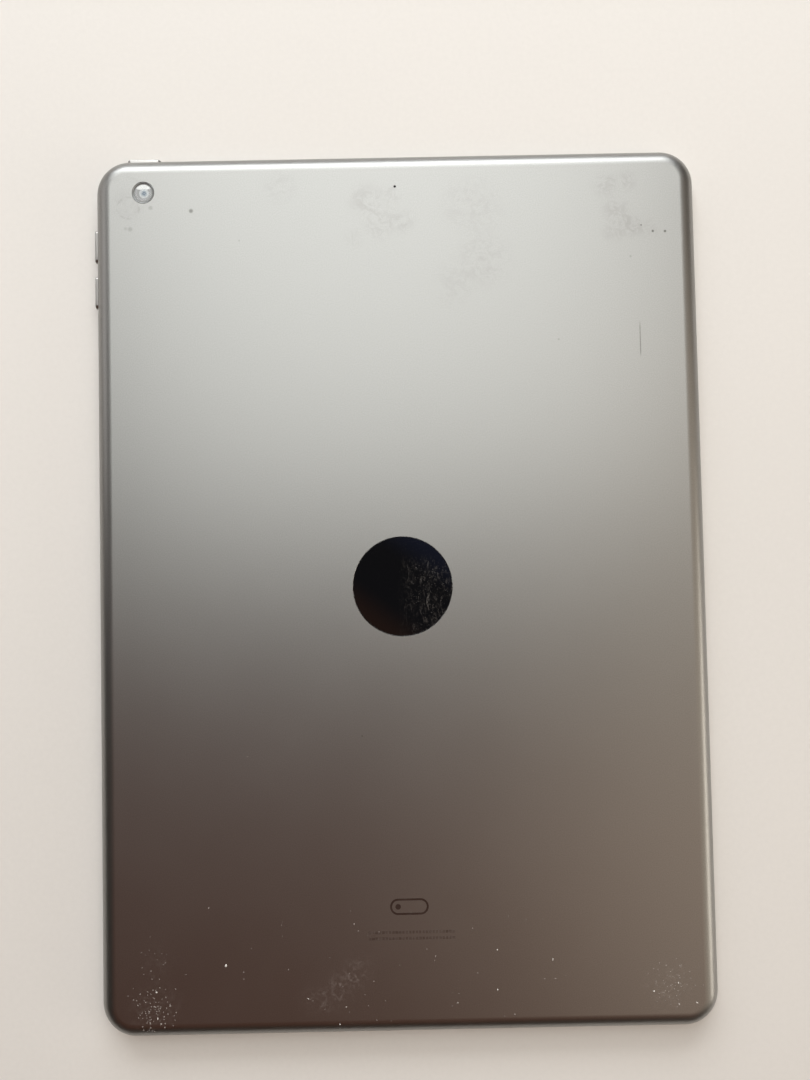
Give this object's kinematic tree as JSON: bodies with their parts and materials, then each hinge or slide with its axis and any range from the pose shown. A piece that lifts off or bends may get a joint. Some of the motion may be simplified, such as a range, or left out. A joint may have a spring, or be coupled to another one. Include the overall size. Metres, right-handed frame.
{
  "type": "tablet computer",
  "caption": "Slim tablet computer with an aluminium back, rear camera, edge keys, a home button on the front, and its display, batteries, boards and speakers inside.",
  "frame": {"origin": "centre of the cover glass's outer face, which the tablet lies on", "axes": "+Z out of the aluminium back, +Y to the edge with the power key, -X to the edge with the volume keys"},
  "size_m": [0.1745, 0.2511, 0.0075],
  "materials": {
    "anodised_aluminium": "satin",
    "key_aluminium": "satin",
    "gloss_emblem": "polished",
    "cover_glass_black": "polished",
    "camera_glass": "polished",
    "bright_steel": "satin",
    "black_plastic": "matte",
    "black_foam": "matte",
    "panel_black": "gloss",
    "light_guide": "satin",
    "circuit_board": "satin",
    "shield_steel": "satin",
    "battery_wrap": "satin",
    "flex_film": "satin",
    "gold_contact": "gloss",
    "magnet_nickel": "satin"
  },
  "bodies": {
    "chassis": {"rear_case": "anodised_aluminium", "emblem_insert": "gloss_emblem", "cover_glass": "cover_glass_black", "display_gasket": "black_foam", "touch_sensor": "panel_black", "lcd_tray": "shield_steel", "lcd_panel": "panel_black", "backlight_guide": "light_guide", "home_button_gasket": "black_foam", "home_button_switch": "bright_steel", "home_button_bracket": "shield_steel", "home_button_flex": "flex_film", "volume_up_switch": "bright_steel", "volume_down_switch": "bright_steel", "power_switch": "bright_steel", "volume_switch_bracket": "shield_steel", "power_switch_bracket": "shield_steel", "camera_trim_ring": "key_aluminium", "camera_cover_glass": "camera_glass", "rear_camera_module": "black_plastic", "rear_camera_lens": "camera_glass", "front_camera_module": "black_plastic", "rear_microphone": "shield_steel", "rear_microphone_mesh": "black_foam", "headphone_jack": "black_plastic", "charging_port": "bright_steel", "port_contact_block": "gold_contact", "speaker_left": "black_plastic", "speaker_right": "black_plastic", "speaker_mesh_left": "black_foam", "speaker_mesh_right": "black_foam", "accessory_contact_carrier": "black_plastic", "accessory_contact_1": "gold_contact", "accessory_contact_2": "gold_contact", "accessory_contact_3": "gold_contact", "battery_cell_left": "battery_wrap", "battery_cell_right": "battery_wrap", "battery_board": "circuit_board", "logic_board": "circuit_board", "board_screw_1": "bright_steel", "board_screw_2": "bright_steel", "processor_shield": "shield_steel", "storage_shield": "shield_steel", "wifi_antenna_left": "black_plastic", "wifi_antenna_right": "black_plastic", "cover_magnet_upper": "magnet_nickel", "cover_magnet_lower": "magnet_nickel", "display_flex": "flex_film", "touch_flex": "flex_film", "button_flex": "flex_film", "display_screw_1": "bright_steel", "display_screw_2": "bright_steel", "display_screw_3": "bright_steel", "display_screw_4": "bright_steel"},
    "power_key": {"power_button": "key_aluminium"},
    "volume_up_key": {"volume_up_button": "key_aluminium"},
    "volume_down_key": {"volume_down_button": "key_aluminium"},
    "home_key": {"home_button_cap": "cover_glass_black", "home_button_ring": "bright_steel"}
  },
  "joints": [
    {"name": "power_press", "type": "slide", "parent": "chassis", "child": "power_key", "axis": [0, -1, 0], "range_m": [0, 0.0003], "stiffness_N_per_m": 2500, "springref_m": -0.0003},
    {"name": "volume_up_press", "type": "slide", "parent": "chassis", "child": "volume_up_key", "axis": [1, 0, 0], "range_m": [0, 0.0003], "stiffness_N_per_m": 2500, "springref_m": -0.0003},
    {"name": "volume_down_press", "type": "slide", "parent": "chassis", "child": "volume_down_key", "axis": [1, 0, 0], "range_m": [0, 0.0003], "stiffness_N_per_m": 2500, "springref_m": -0.0003},
    {"name": "home_press", "type": "slide", "parent": "chassis", "child": "home_key", "axis": [0, 0, 1], "range_m": [0, 0.0003], "stiffness_N_per_m": 2500, "springref_m": -0.0003}
  ]
}
